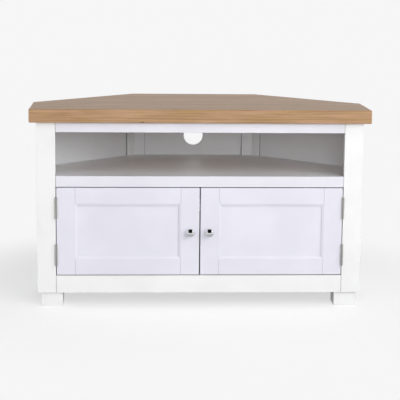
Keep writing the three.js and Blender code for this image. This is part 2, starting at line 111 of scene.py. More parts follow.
class OakSettings(bpy.types.PropertyGroup):
    """Colours and sizes of the oak top."""
    light: colour("Light wood", "Early wood between the growth rings", "#CAA582")
    middle: colour("Middle wood", "Most of the wood", "#B9946F")
    dark: colour("Dark wood", "Late wood and streaks", "#9B764E")
    ochre: colour("Ochre wood", "Yellower patches", "#AD8C5A")
    rosy: colour("Rosy wood", "Pinker patches", "#BE9478")
    knot: colour("Knot", "Middle of the small knot", "#5E4029")
    board_width: length("Board width", "Width of each glued board", 92 * MM)
    ring_spacing: length("Ring spacing", "Distance between growth rings", 3.2 * MM)
    pore_length: length("Pore length", "Length of an open pore along the grain", 9 * MM)
    pore_width: length("Pore width", "Width of an open pore, coarser than life so that it shows", 0.7 * MM)
    softening: length("Arris softening", "How far each arris is rounded", 0.7 * MM)
    roughness: share("Roughness", "Roughness of the satin lacquer", 0.43)


class PaintSettings(bpy.types.PropertyGroup):
    """Colours and sizes of the white paint."""
    frame_white: colour("Frame white", "Stiles, plinth and feet", "#FAFAFA")
    rail_white: colour("Rail white", "Rails of the face frame", "#ECEBF3")
    door_white: colour("Door white", "Both doors", "#ECEBF5")
    wall_white: colour("Wall white", "Walls round the bay and the cupboards", "#EAEDF0")
    inner_white: colour("Inner white", "Shelf, cupboard floor and partition", "#F3F5FA")
    peel: length("Orange peel", "Width of the ripples that a spray gun leaves", 2.6 * MM)
    grain: length("Grain", "Spacing of the wood grain that shows faintly under the paint", 1.8 * MM)
    softening: length("Arris softening", "How far each painted arris is rounded", 0.8 * MM)
    roughness: share("Roughness", "Roughness of the satin paint", 0.4)


class FittingSettings(bpy.types.PropertyGroup):
    """Colours and sizes of the metal and plastic fittings."""
    nickel: colour("Nickel", "Dull nickel plate of the hinges", "#CBC9C5")
    chrome: colour("Chrome", "Polished chrome of the knobs", "#EDEEF0")
    zinc: colour("Zinc", "Bright zinc plate of the screws", "#B9BBBD")
    plastic: colour("Plastic", "Moulded catch", "#EDEDEA")
    ferrite: colour("Ferrite", "Magnets of the catch", "#38383B")
    screw_head: length("Screw head", "Diameter of a hinge screw's head", 6.2 * MM)
    wood_screw_head: length("Wood screw head", "Diameter of a batten screw's head", 7.5 * MM)
    pin_head: length("Panel pin head", "Diameter of a panel pin's head", 3.6 * MM)
    knob_steps: IntProperty(name="Knob steps", description="Steps round each knob", default=72, min=24)


class StudioSettings(bpy.types.PropertyGroup):
    """Backdrop, lamps and camera."""
    backdrop: colour("Backdrop", "Floor and background", "#F6F6F6")
    front_level: level("Front lamp", "Light of the broad low lamp in front", 0.39)
    right_level: level("Right lamp", "Light of the very broad lamp on the right", 0.48)
    left_level: level("Left lamp", "Light of the broad low lamp on the left", 0.15)
    rear_level: level("Rear lamps", "Light of each of the two lamps behind", 0.42)
    world_level: level("World", "Light from all round", 0.2)
    floor_level: level("Floor glow", "What the floor adds for the camera to reach the backdrop's white", 0.59)
    floor_radius: length("Floor radius", "Reach of the floor", 7.0)
    lens: FloatProperty(
        name="Lens", description="Focal length on a 36 mm frame", default=124.16, unit="CAMERA")


class CabinetSettings(bpy.types.PropertyGroup):
    """Everything a user may change."""
    oak: PointerProperty(type=OakSettings)
    paint: PointerProperty(type=PaintSettings)
    fitting: PointerProperty(type=FittingSettings)
    studio: PointerProperty(type=StudioSettings)


def settings():
    """The scene's settings, one group for each finish."""
    return bpy.context.scene.cabinet


# Nodes and patterns of a material

SMOOTH = {"interpolation_type": "SMOOTHSTEP"}
ORIGIN = (0.0, 0.0, 0.0)


def add(tree, kind, inputs=(), operation=None, **values):
    """Add a node with its settings, give its inputs a number, colour or link each, and return its outputs.

    The inputs come in their order, or under their names or numbers.
    """
    node = tree.nodes.new(f"ShaderNode{kind}")
    if operation:
        values["operation"] = operation
    for name, value in values.items():
        setattr(node, name, value)
    for name, value in inputs.items() if isinstance(inputs, dict) else enumerate(inputs):
        socket = node.inputs[name]
        if isinstance(value, bpy.types.NodeSocket):
            tree.links.new(value, socket)
        elif socket.type == "RGBA":
            socket.default_value = (*value, 1.0)
        else:
            socket.default_value = value
    return node.outputs


def start_material(name):
    """An empty material, its tree and the piece's own coordinates."""
    material = bpy.data.materials.new(name)
    material.use_nodes = True
    tree = material.node_tree
    tree.nodes.clear()
    return material, tree, add(tree, "TexCoord")["Object"]


def end_material(material, inputs, height=None, depth=0.0, strength=0.5):
    """End a material in its shader. A bump's height, from 0 to 1, stands for a depth in metres."""
    tree = material.node_tree
    if depth:
        bump = add(tree, "Bump", {"Strength": strength, "Distance": depth, "Height": height})
        inputs = {**inputs, "Normal": bump[0]}
    shader = add(tree, "BsdfPrincipled", inputs)
    add(tree, "OutputMaterial", (shader[0],))
    return material


def noise(tree, place, sizes, detail=2.0, roughness=0.5):
    """Noise whose features have the given sizes in metres along X, Y and Z."""
    scaled = add(tree, "Mapping", {"Vector": place, "Scale": [1 / size for size in sizes]})
    return add(tree, "TexNoise", {
        "Vector": scaled[0], "Scale": 1.0, "Detail": detail, "Roughness": roughness})["Fac"]


def distance_from(tree, place, centre, scales):
    """How far each point is from a centre, with each axis scaled."""
    apart = add(tree, "VectorMath", (place, centre), "SUBTRACT")
    scaled = add(tree, "VectorMath", (apart[0], scales), "MULTIPLY")
    return add(tree, "VectorMath", (scaled[0],), "LENGTH")["Value"]


def weighted(tree, parts):
    """The sum of several patterns, each times its weight."""
    total = 0.0
    for pattern, weight in parts:
        total = add(tree, "Math", (pattern, weight, total), "MULTIPLY_ADD")[0]
    return total


def layered(tree, base, layers):
    """A base colour with others laid over it.

    Each layer has its pattern, its colour and, where the pattern isn't yet the amount, the span of the
    pattern over which the colour comes in, with the amounts at both ends unless they are 0 and 1.
    """
    mixed = base
    for pattern, over, *span in layers:
        amount = pattern
        if span:
            amount = add(tree, "MapRange", (pattern, *span), **SMOOTH)[0]
        mixed = add(tree, "Mix", {0: amount, 6: mixed, 7: over}, data_type="RGBA")[2]
    return mixed


def toned(hue, *factors):
    """A colour times a factor, or with each channel times its own."""
    return [channel * factors[index % len(factors)] for index, channel in enumerate(hue)]


# Finishes

PITH_SPREAD = (3.0, 0.24, 0.16)
PITH_SHIFT = (0.0, -0.12, 0.08)
RING_SWAY = 22 * MM
KNOT_X = -171 * MM
KNOT_RISE = 2 * MM
KNOT_SWIRL = 9 * MM
STREAK_X = -125 * MM
STREAK_DROP = 20 * MM
STICKING_WIDTH = 7.5 * MM
COPE_PLAY = 0.6 * MM
SEAM_WIDTH = 1.4 * MM
SEAM_SHADE = (0.25,)
# Painted shade along the edges of the rear posts, where they meet the panels
POST_EDGE_REACH = 2.5 * MM
POST_EDGE_PAINTED_SHADE = (0.45,)
# Painted shade on the partition's front edge, a darker brown-grey that darkens the gap between the doors
PARTITION_EDGE_PAINTED_SHADE = (0.33, 0.28, 0.22)
PAINT_SHEEN_SWING = 0.1
METAL_SHINE_SWING = 0.5
PINE_RING_SPACING = 3.5 * MM
PINE_RING_SWAY = 30 * MM


def board_rings(tree, place, oak):
    """Places that differ by board, growth rings round the pith of each board, and its random tone."""
    across = add(tree, "SeparateXYZ", (place,))[1]
    boards = add(tree, "Math", (across, oak.board_width), "DIVIDE")
    number = add(tree, "Math", (boards[0],), "FLOOR")
    chance = add(tree, "TexWhiteNoise", {"W": number[0]}, noise_dimensions="1D")
    spread = add(tree, "VectorMath", (chance["Color"], PITH_SPREAD, PITH_SHIFT), "MULTIPLY_ADD")
    moved = add(tree, "VectorMath", (place, spread[0]), "ADD")[0]
    sway = noise(tree, moved, (500 * MM, 80 * MM, 80 * MM))
    radius = distance_from(tree, moved, ORIGIN, (0.0, 1.0, 1.0))
    swayed = add(tree, "Math", (sway, RING_SWAY, radius), "MULTIPLY_ADD")
    turns = add(tree, "Math", (swayed[0], oak.ring_spacing), "DIVIDE")
    return moved, turns[0], chance["Value"]


def oak_material():
    """Oak boards, glued edge to edge and sanded along the grain, then satin lacquered.

    The eye sees long fine lines along the boards, short open pores, boards of slightly different
    tone, and growth rings where the ends are cut across.
    """
    oak = settings().oak
    material, tree, place = start_material("oak_boards_sanded_satin_lacquered")
    moved, turns, tone = board_rings(tree, place, oak)
    low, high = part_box("top_board")
    from_knot = distance_from(tree, place, (KNOT_X, low.y, low.z + KNOT_RISE), (0.5, 1.0, 1.0))
    from_streak = distance_from(tree, place, (STREAK_X, low.y, high.z - STREAK_DROP), (0.07, 0.5, 1.0))
    swirl = add(tree, "MapRange", (from_knot, 0.0, KNOT_SWIRL, 0.9, 0.0), **SMOOTH)
    swirled = add(tree, "Math", (turns, swirl[0]), "ADD")
    rings = add(tree, "TexNoise", {"W": swirled[0], "Scale": 1.0, "Detail": 2.0, "Roughness": 0.55},
                noise_dimensions="1D")["Fac"]
    fibres = noise(tree, moved, (70 * MM, 1.4 * MM, 1.4 * MM), 3.0, 0.6)
    clouds = noise(tree, moved, (190 * MM, 11 * MM, 7 * MM), 3.0, 0.55)
    patches = noise(tree, moved, (110 * MM, 16 * MM, 10 * MM))
    pores = noise(tree, moved, (oak.pore_length, oak.pore_width, oak.pore_width), 1.0)
    open_pores = add(tree, "MapRange", (pores, 0.6, 0.72), **SMOOTH)[0]
    figure = weighted(tree, ((fibres, 0.28), (rings, 0.28), (clouds, 0.56), (tone, 0.12)))
    near_streak = add(tree, "MapRange", (from_streak, 1.5 * MM, 7 * MM, 0.85, 0.0), **SMOOTH)
    streak = add(tree, "Math", (near_streak[0], fibres), "MULTIPLY")[0]
    wood = layered(tree, oak.dark, (
        (figure, oak.middle, 0.42, 0.63),
        (figure, oak.light, 0.56, 0.82),
        (patches, oak.ochre, 0.5, 0.7, 0.0, 0.7),
        (patches, oak.rosy, 0.3, 0.5, 0.7, 0.0),
        (streak, oak.dark),
        (pores, oak.dark, 0.6, 0.72, 0.0, 0.35),
        (from_knot, oak.knot, 1.0 * MM, 3.2 * MM, 0.9, 0.0),
    ))
    sheen = add(tree, "Math", (open_pores, 0.12, oak.roughness), "MULTIPLY_ADD")[0]
    height = weighted(tree, ((fibres, 0.3), (open_pores, -0.8)))
    return end_material(material, {"Base Color": wood, "Roughness": sheen, "IOR": 1.5}, height, 0.12 * MM)


def seam_line(tree, place, seams):
    """Which points lie in the joints: each is its distance to either side of the middle, and its reach."""
    across = add(tree, "SeparateXYZ", (place,))[0]
    beside = add(tree, "Math", (across,), "ABSOLUTE")[0]
    line = 0.0
    for distance, reach in seams:
        past = add(tree, "Math", (beside, distance), "SUBTRACT")[0]
        apart = add(tree, "Math", (past,), "ABSOLUTE")[0]
        near = add(tree, "MapRange", (apart, 0.4 * reach, reach, 1.0, 0.0), **SMOOTH)[0]
        line = add(tree, "Math", (line, near), "MAXIMUM")[0]
    return line


def frame_joints(tree, place):
    """Where the rails of the face frame meet its stiles."""
    return seam_line(tree, place, [(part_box("top_rail")[1].x, SEAM_WIDTH)])


def door_joints(tree, place):
    """Where the rails of a door meet its stiles."""
    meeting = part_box("door_meeting_stile_right")[1].x - STICKING_WIDTH + COPE_PLAY
    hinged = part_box("door_hinge_stile_right")[0].x + STICKING_WIDTH - COPE_PLAY
    return seam_line(tree, place, [(meeting, SEAM_WIDTH), (hinged, SEAM_WIDTH)])


def post_edge_painted_shade_mask(tree, place):
    """Painted shade where a rear post ends on the inside of the back panel and of an angled side."""
    low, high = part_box("rear_post_right")
    line = seam_line(tree, place, [(low.x, 1.3 * SEAM_WIDTH), (high.x - POST_EDGE_REACH, POST_EDGE_REACH)])
    axes = add(tree, "SeparateXYZ", (place,))
    beside = add(tree, "Math", (axes[0],), "ABSOLUTE")
    outward = add(tree, "Math", (beside[0], axes[1]), "ADD")
    panel_low, panel_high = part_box("angled_side_right")
    wall = panel_low.x + panel_high.y
    inside = add(tree, "MapRange", (outward[0], wall - 2 * MM, wall + 2 * MM, 1.0, 0.0), **SMOOTH)
    return add(tree, "Math", (line, inside[0]), "MULTIPLY")[0]


def partition_edge_painted_shade(tree, place):
    """Painted shade on the front edge of the partition, right behind the gap between the doors."""
    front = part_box("centre_partition")[0].y
    deep = add(tree, "SeparateXYZ", (place,))[1]
    return add(tree, "MapRange", (deep, front + 0.3 * MM, front + 1 * MM, 1.0, 0.0), **SMOOTH)[0]


def paint_material(pieces, white, grain=None, joints=None, joint_and_painted_shade=SEAM_SHADE):
    """White paint, sprayed in several coats on sanded wood or board and left satin.

    The eye sees a soft sheen, the shallow ripple of sprayed paint, tones that drift by a hair over
    a hand's width and, where the piece is solid wood, a trace of its grain. Where rails meet
    stiles the paint has opened in a hairline. Along the edges of the rear posts the paint is darkened
    with painted shade, for the shadow in the corners where they meet the panels, and the front edge
    of the partition is painted a darker brown-grey, painted shade that keeps the gap between the doors dark.
    """
    paint = settings().paint
    hue = getattr(paint, white)
    material, tree, place = start_material(f"{pieces}_paint_sprayed_satin")
    drift = noise(tree, place, (150 * MM,) * 3)
    peel = noise(tree, place, (paint.peel,) * 3, 2.0, 0.6)
    layers = [(drift, toned(hue, 0.955), 0.35, 0.65)]
    height = peel
    if grain:
        sizes = [90 * MM if axis == grain else paint.grain for axis in "XYZ"]
        fibres = noise(tree, place, sizes, 3.0, 0.6)
        height = add(tree, "Math", (fibres, 0.9, peel), "MULTIPLY_ADD")[0]
        layers.append((fibres, toned(hue, 0.93), 0.56, 0.74, 0.0, 0.3))
    # Dark hairlines where rails meet stiles; on the rear posts and the partition, painted shade instead
    if joints:
        layers.append((joints(tree, place), toned(hue, *joint_and_painted_shade)))
    tint = layered(tree, hue, layers)
    dullest = paint.roughness - PAINT_SHEEN_SWING / 2
    sheen = add(tree, "Math", (peel, PAINT_SHEEN_SWING, dullest), "MULTIPLY_ADD")[0]
    inputs = {"Base Color": tint, "Roughness": sheen, "IOR": 1.47}
    return end_material(material, inputs, height, 0.05 * MM, 0.35)


def softwood_material():
    """Pine, planed and left bare: broad yellow early wood, thin brown late wood, and no shine."""
    material, tree, place = start_material("pine_planed_bare")
    sway = noise(tree, place, (200 * MM, 200 * MM, 40 * MM))
    upward = add(tree, "SeparateXYZ", (place,))[2]
    swayed = add(tree, "Math", (sway, PINE_RING_SWAY, upward), "MULTIPLY_ADD")
    turns = add(tree, "Math", (swayed[0], PINE_RING_SPACING), "DIVIDE")
    rings = add(tree, "TexNoise", {"W": turns[0], "Scale": 1.0, "Detail": 1.0}, noise_dimensions="1D")["Fac"]
    fibres = noise(tree, place, (40 * MM, 40 * MM, 0.8 * MM), 3.0)
    lines = add(tree, "Math", (fibres, 0.4), "MULTIPLY")[0]
    wood = layered(tree, linear("#DCC39B"), (
        (rings, linear("#B98F5F"), 0.45, 0.7),
        (lines, linear("#C9A878")),
    ))
    return end_material(material, {"Base Color": wood, "Roughness": 0.72, "IOR": 1.45}, fibres, 0.1 * MM)


def metal_material(name, plate, roughness, grain_sizes, depth):
    """Plated metal: the plate's colour, with fine marks of the given sizes in its shine."""
    hue = getattr(settings().fitting, plate)
    material, tree, place = start_material(name)
    marks = noise(tree, place, grain_sizes, 3.0, 0.65)
    tint = layered(tree, hue, [(marks, toned(hue, 0.86), 0.35, 0.7)])
    swing = METAL_SHINE_SWING * roughness
    shine = add(tree, "Math", (marks, swing, roughness - swing / 2), "MULTIPLY_ADD")[0]
    inputs = {"Base Color": tint, "Roughness": shine, "Metallic": 1.0}
    return end_material(material, inputs, marks, depth, 0.4)


def moulded_material(name, body, grain, detail, toning, roughness, ior):
    """Moulded or pressed goods: one colour, with a fine grain of the given size in it and on it."""
    hue = getattr(settings().fitting, body)
    material, tree, place = start_material(name)
    specks = noise(tree, place, (grain,) * 3, detail)
    tint = layered(tree, hue, [(specks, toned(hue, toning))])
    return end_material(material, {"Base Color": tint, "Roughness": roughness, "IOR": ior}, specks, 0.03 * MM)


# Each finish with the function that makes its material and what that function is given
FINISHES = {
    "oak": (oak_material,),
    "frame_along_x": (paint_material, "rail", "rail_white", "X", frame_joints),
    "plinth": (paint_material, "plinth", "frame_white", "X", frame_joints),
    "frame_along_z": (paint_material, "stile", "frame_white", "Z"),
    "walls": (paint_material, "wall", "wall_white"),
    # The rear posts' paint is darkened along their edges: painted shade
    "rear_posts_with_painted_shade": (paint_material, "post", "wall_white", "Z", post_edge_painted_shade_mask, POST_EDGE_PAINTED_SHADE),
    "door_along_x": (paint_material, "door_rail", "door_white", "X", door_joints),
    "door_along_z": (paint_material, "door_stile", "door_white", "Z"),
    "door_panel": (paint_material, "door_panel", "door_white"),
    "inside": (paint_material, "inner", "inner_white"),
    # The partition's paint is darkened on its front edge: painted shade behind the gap between the doors
    "partition": (paint_material, "partition", "inner_white", None, partition_edge_painted_shade, PARTITION_EDGE_PAINTED_SHADE),
    "softwood": (softwood_material,),
    # Steel, pressed and rolled, then nickel plated and dulled: soft warm grey, faint draw lines
    "nickel": (metal_material, "steel_pressed_dull_nickel", "nickel", 0.38,
               (0.5 * MM, 0.5 * MM, 6 * MM), 0.02 * MM),
    # Zinc alloy, die-cast, polished and chromed: a mirror with the faintest haze
    "chrome": (metal_material, "zinc_alloy_polished_chrome", "chrome", 0.05, (4 * MM,) * 3, 0.0),
    # Steel screws, cold headed and zinc plated: bright with a fine grain
    "zinc": (metal_material, "steel_screws_zinc_plated", "zinc", 0.32, (0.8 * MM,) * 3, 0.02 * MM),
    # ABS, moulded in a spark-eroded tool: off-white with a fine even stipple
    "plastic": (moulded_material, "abs_moulded_white", "plastic", 0.6 * MM, 2.0, 0.93, 0.45, 1.53),
    # Ferrite, pressed and sintered: near black, dull and slightly speckled
    "ferrite": (moulded_material, "ferrite_sintered", "ferrite", 0.5 * MM, 3.0, 1.6, 0.6, 1.5),
}
made_finishes = {}


def finish(name):
    """The material of that finish, made when it is first asked for."""
    if name not in made_finishes:
        make, *given = FINISHES[name]
        made_finishes[name] = make(*given)
    return made_finishes[name]


# Pieces

MERGE_DISTANCE = 0.01 * MM
ARRIS_ANGLE = math.radians(20)
ARRIS_ROOM = 3
SMOOTH_ANGLE = math.radians(35)
FLAT_ANGLE = math.radians(1)
SOFTENED_VOLUME_SHARES = (0.9, 1.0001)


def place_object(name, data):
    """Put an object with its data in the scene."""
    placed = bpy.data.objects.new(name, data)
    bpy.context.scene.collection.objects.link(placed)
    return placed


def mesh_object(bm, name, material):
    """Turn a bmesh into an object with one material."""
    mesh = bpy.data.meshes.new(name)
    bm.to_mesh(mesh)
    bm.free()
    mesh.materials.append(material)
    return place_object(name, mesh)


def put(bm, name, body, finish_name, stands_for=(), smooth=False):
    """Make a piece from a bmesh, let it ride on a body, and hide the CAD nodes that it stands for."""
    piece = mesh_object(bm, name, finish(finish_name))
    if smooth:
        piece.data.shade_smooth()
        piece.data.set_sharp_from_angle(angle=SMOOTH_ANGLE)
    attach(piece, body)
    if stands_for:
        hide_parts(*stands_for)


def stand_in(bm, node, made_by, finish_name, smooth=True):
    """Put a piece in a CAD node's place."""
    put(bm, f"{node}_{made_by}", BODY_OF[node], finish_name, [node], smooth)


def round_off(bm, geom, radius, segments=2, affect="EDGES"):
    """Round edges, or corners of a sheet."""
    bmesh.ops.bevel(
        bm, geom=geom, offset=radius, offset_type="OFFSET", segments=segments, profile=0.5,
        affect=affect, clamp_overlap=True, material=-1)


def can_soften(edge, radius):
    """Whether an edge is an outer corner with room on both of its faces and at both of its ends."""
    if len(edge.link_faces) != 2 or edge.calc_face_angle_signed() < ARRIS_ANGLE:
        return False
    room, long = ARRIS_ROOM * radius, edge.calc_length()
    if min(face.calc_area() / long for face in edge.link_faces) < room:
        return False
    ends = [other for vert in edge.verts for other in vert.link_edges]
    return min(other.calc_length() for other in ends) > room


def softened(node, radius, segments):
    """A merged copy of a CAD node's mesh with its arrises rounded."""
    bm = bmesh.new()
    bm.from_mesh(frame["nodes"][node].data)
    bmesh.ops.remove_doubles(bm, verts=bm.verts, dist=MERGE_DISTANCE)
    bmesh.ops.dissolve_limit(
        bm, angle_limit=FLAT_ANGLE, use_dissolve_boundaries=False, verts=bm.verts, edges=bm.edges,
        delimit={"NORMAL"})
    volume = bm.calc_volume()
    arrises = [edge for edge in bm.edges if can_soften(edge, radius)]
    if arrises:
        round_off(bm, arrises, radius, segments)
    least, most = SOFTENED_VOLUME_SHARES
    if not least * volume < bm.calc_volume() <= most * volume:
        raise RuntimeError(f"softening {node} changed its volume too much")
    return bm


def dress(finish_name, *nodes, radius=None, segments=2):
    """Stand softened and finished copies in the places of CAD nodes, by default as soft as painted ones."""
    for node in nodes:
        bm = softened(node, radius or settings().paint.softening, segments)
        stand_in(bm, node, "dressed", finish_name, smooth=False)


def paired(*names):
    """Each name with _right and with _left."""
    return [f"{name}_{side}" for name in names for side in SIDES]


def measured(node):
    """The lowest corner, the highest corner and the middle of a CAD node."""
    low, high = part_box(node)
    return low, high, (low + high) / 2


def once(items):
    """Each item once, in order."""
    return list(dict.fromkeys(items))


def new_verts(made):
    """The corners among what an operator made."""
    return [item for item in made["geom"] if isinstance(item, bmesh.types.BMVert)]


def box_mesh(low, high, bm=None):
    """A bmesh, new or given, with a box between two corners."""
    bm = bm or bmesh.new()
    low, high = Vector(low), Vector(high)
    verts = bmesh.ops.create_cube(bm, size=1.0)["verts"]
    bmesh.ops.scale(bm, verts=verts, vec=high - low)
    bmesh.ops.translate(bm, verts=verts, vec=(low + high) / 2)
    return bm


def cut(bm, point, keep, clear=True):
    """Cut a mesh along a plane, and clear away what lies behind it."""
    bmesh.ops.bisect_plane(
        bm, geom=[*bm.verts, *bm.edges, *bm.faces], plane_co=point, plane_no=keep, clear_inner=clear)


def soften_all(bm, radius):
    """Round every outer corner of a small fitting."""
    round_off(bm, [edge for edge in bm.edges if edge.calc_face_angle_signed() > ARRIS_ANGLE], radius)


# Screws and pins

CROSS_CELLS = 7
CROSS_REACH_SHARE = 0.62
CROSS_WIDTH_SHARE = 0.2
CROSS_TAPER = 0.8
SCREW_PROUD = 0.15 * MM
SCREW_RECESS = 0.5 * MM
PIN_DOME = 0.25
PINS_IN_ROW = 6
PIN_END_INSET = 28 * MM


def facing(place, out):
    """The move that takes a face from the origin, where it looks up, to a place, where it looks out."""
    turn = Vector((0, 0, 1)).rotation_difference(Vector(out)).to_matrix().to_4x4()
    return Matrix.Translation(place) @ turn


def turned(node, profile, steps, place, finish_name):
    """Stand a turned piece in a node's place: radii and heights, spun round Z and then put in place."""
    bm = bmesh.new()
    verts = [bm.verts.new((radius, 0, height)) for radius, height in profile]
    edges = [bm.edges.new(pair) for pair in zip(verts, verts[1:])]
    bmesh.ops.spin(
        bm, geom=verts + edges, cent=ORIGIN, axis=(0, 0, 1), angle=2 * math.pi, steps=steps,
        use_merge=True)
    bmesh.ops.remove_doubles(bm, verts=bm.verts, dist=MERGE_DISTANCE)
    bmesh.ops.recalc_face_normals(bm, faces=bm.faces)
    bmesh.ops.transform(bm, matrix=place, verts=bm.verts)
    stand_in(bm, node, "turned", finish_name)


def recessed_head(bm, place, out, diameter, proud, recess):
    """A round screw head with a cross recess, proud of a face at a place, facing out."""
    radius = diameter / 2
    verts = bmesh.ops.create_grid(bm, x_segments=CROSS_CELLS, y_segments=CROSS_CELLS, size=radius)["verts"]
    for vert in verts:
        reach = max(abs(vert.co.x), abs(vert.co.y)) / radius
        if vert.co.length:
            vert.co = vert.co.lerp(vert.co.normalized() * reach * radius, reach ** 2)
    arms = []
    for face in once(face for vert in verts for face in vert.link_faces):
        middle = face.calc_center_median()
        beside = min(abs(middle.x), abs(middle.y))
        if beside < CROSS_WIDTH_SHARE * radius and middle.length < CROSS_REACH_SHARE * radius:
            arms.append(face)
    bottom = new_verts(bmesh.ops.extrude_face_region(bm, geom=arms))
    bmesh.ops.delete(bm, geom=arms, context="FACES_ONLY")
    bmesh.ops.translate(bm, verts=bottom, vec=(0, 0, -recess))
    bmesh.ops.scale(bm, verts=bottom, vec=(CROSS_TAPER, CROSS_TAPER, 1))
    rim = once(edge for vert in verts if vert.is_valid for edge in vert.link_edges if edge.is_boundary)
    lower = new_verts(bmesh.ops.extrude_edge_only(bm, edges=rim))
    bmesh.ops.translate(bm, verts=lower, vec=(0, 0, -proud - recess))
    base = once(edge for vert in lower for edge in vert.link_edges if edge.is_boundary)
    bmesh.ops.contextual_create(bm, geom=base)
    head = once([vert for vert in verts if vert.is_valid] + bottom + lower)
    bmesh.ops.transform(bm, matrix=facing(Vector(place) + Vector(out) * proud, out), verts=head)


def screws(name, node, places, out, diameter, finish_name="zinc", proud=SCREW_PROUD, recess=SCREW_RECESS):
    """A row of screw heads as one piece, which moves with the node that they are in."""
    bm = bmesh.new()
    for place in places:
        recessed_head(bm, place, out, diameter, proud, recess)
    bmesh.ops.recalc_face_normals(bm, faces=bm.faces)
    put(bm, name, BODY_OF[node], finish_name)


def spaced(first, last, count):
    """Points in a row from the first to the last."""
    first, last = Vector(first), Vector(last)
    return [first.lerp(last, i / (count - 1)) for i in range(count)]


def pins(name, node, edges, out):
    """Panel pins down upright edges of a panel, with domed heads punched almost flush, as one piece."""
    low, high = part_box(node)
    radius = settings().fitting.pin_head / 2
    bm = bmesh.new()
    for x, y in edges:
        for place in spaced((x, y, low.z + PIN_END_INSET), (x, y, high.z - PIN_END_INSET), PINS_IN_ROW):
            dome = bmesh.ops.create_uvsphere(bm, u_segments=16, v_segments=8, radius=radius)["verts"]
            bmesh.ops.scale(bm, verts=dome, vec=(1, 1, PIN_DOME))
            bmesh.ops.transform(bm, matrix=facing(place, out), verts=dome)
    put(bm, name, BODY_OF[node], "zinc", smooth=True)


# Operators, one for each piece or group of like pieces

PANEL_THICKNESS = 9 * MM
BACK_PIN_INSET = 7 * MM
FRONT_PIN_INSET = 14 * MM
REAR_PIN_INSET = 6 * MM
BATTEN_SOFTENING = 0.6 * MM
BATTEN_SCREW_INSET = 40 * MM
FOOT_SOFTENING = 1.5 * MM


class CABINET_OT_oak_top(bpy.types.Operator):
    """Dress the oak top"""
    bl_idname = "cabinet.oak_top"
    bl_label = "Oak Top"

    def execute(self, context):
        dress("oak", "top_board", radius=settings().oak.softening)
        return {"FINISHED"}


class CABINET_OT_face_frame(bpy.types.Operator):
    """Dress the stiles and rails of the face frame"""
    bl_idname = "cabinet.face_frame"
    bl_label = "Face Frame"

    def execute(self, context):
        dress("frame_along_x", "top_rail", "shelf_rail")
        dress("plinth", "bottom_rail")
        dress("frame_along_z", *paired("frame_stile"))
        return {"FINISHED"}


class CABINET_OT_walls(bpy.types.Operator):
    """Dress the sides, the rear posts and the back panel, and pin the thin panels on"""
    bl_idname = "cabinet.walls"
    bl_label = "Walls"

    def execute(self, context):
        dress("walls", "back_panel", *paired("angled_side", "return_side"))
        dress("rear_posts_with_painted_shade", *paired("rear_post"))
        low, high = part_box("back_panel")
        edges = [(x, high.y) for x in (low.x + BACK_PIN_INSET, high.x - BACK_PIN_INSET)]
        pins("back_panel_pins", "back_panel", edges, (0, 1, 0))
        for side, sign in SIDES.items():
            self.pin_angled_side(side, sign)
        return {"FINISHED"}

    def pin_angled_side(self, side, sign):
        """A row of pins down each upright edge of an angled side."""
        node = f"angled_side_{side}"
        low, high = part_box(node)
        along = Vector((-sign, 1)).normalized()
        front = Vector((high.x if sign > 0 else low.x, low.y + PANEL_THICKNESS * math.sqrt(2)))
        run = (high.x - low.x) * math.sqrt(2) - PANEL_THICKNESS
        edges = [front + along * distance for distance in (FRONT_PIN_INSET, run - REAR_PIN_INSET)]
        pins(f"angled_side_pins_{side}", node, edges, Vector((sign, 1, 0)).normalized())


class CABINET_OT_boards(bpy.types.Operator):
    """Dress the media shelf, the cupboard floor and the partition"""
    bl_idname = "cabinet.boards"
    bl_label = "Shelf and Boards"

    def execute(self, context):
        dress("inside", "media_shelf", "base_panel")
        dress("partition", "centre_partition")
        return {"FINISHED"}


class CABINET_OT_battens(bpy.types.Operator):
    """Dress the battens and corner blocks, and screw the battens up"""
    bl_idname = "cabinet.battens"
    bl_label = "Battens and Blocks"

    def execute(self, context):
        angled = paired("top_batten", "shelf_batten")
        dress("softwood", "top_batten_front", "top_batten_back", *angled,
              *paired("front_block", "rear_block"), radius=BATTEN_SOFTENING)
        for node, count in (("top_batten_front", 5), ("top_batten_back", 3)):
            self.screw_up(node, 0, count)
        for node in angled:
            self.screw_up(node, 1 if node.endswith("left") else -1, 3)
        return {"FINISHED"}

    def screw_up(self, node, slope, count):
        """A row of screw heads on the underside of a batten that runs along X or at a slope to it."""
        low, high, middle = measured(node)
        reach = (high.x - low.x) / 2 - BATTEN_SCREW_INSET
        first, last = ((middle.x + x, middle.y + slope * x, low.z) for x in (-reach, reach))
        screws(f"{node}_screws", node, spaced(first, last, count), (0, 0, -1),
               settings().fitting.wood_screw_head)


class CABINET_OT_feet(bpy.types.Operator):
    """Dress the four block feet"""
    bl_idname = "cabinet.feet"
    bl_label = "Feet"

    def execute(self, context):
        dress("frame_along_z", *paired("front_foot", "rear_foot"), radius=FOOT_SOFTENING, segments=3)
        return {"FINISHED"}


class CABINET_OT_doors(bpy.types.Operator):
    """Dress the five wooden pieces of each door"""
    bl_idname = "cabinet.doors"
    bl_label = "Doors"

    def execute(self, context):
        dress("door_along_z", *paired("door_hinge_stile", "door_meeting_stile"))
        dress("door_along_x", *paired("door_top_rail", "door_bottom_rail"))
        dress("door_panel", *paired("door_panel"))
        return {"FINISHED"}


HINGE_KNUCKLE = 8 * MM
HINGE_KNUCKLES = 5
KNUCKLE_SOFTENING = 0.35 * MM
HINGE_PIN = 3.4 * MM
HINGE_PIN_STEPS = 24
PIN_HEAD_RISE = 1.5 * MM
PIN_CROWN_SHARE = 0.8
PIN_CROWN_DROP_SHARE = 0.125
LEAF_THICKNESS = 1.6 * MM
LEAF_GAP = 0.3 * MM
LEAF_HOLE = 3.4 * MM
LEAF_HOLE_SHIFT = 1.5 * MM
LEAF_HOLE_RISE_SHARE = 0.34
LEAF_HOLE_STEP_SHARE = 0.12
LEAF_CORNER = 2.5 * MM
LEAF_SCREW_SINK = 0.12 * MM


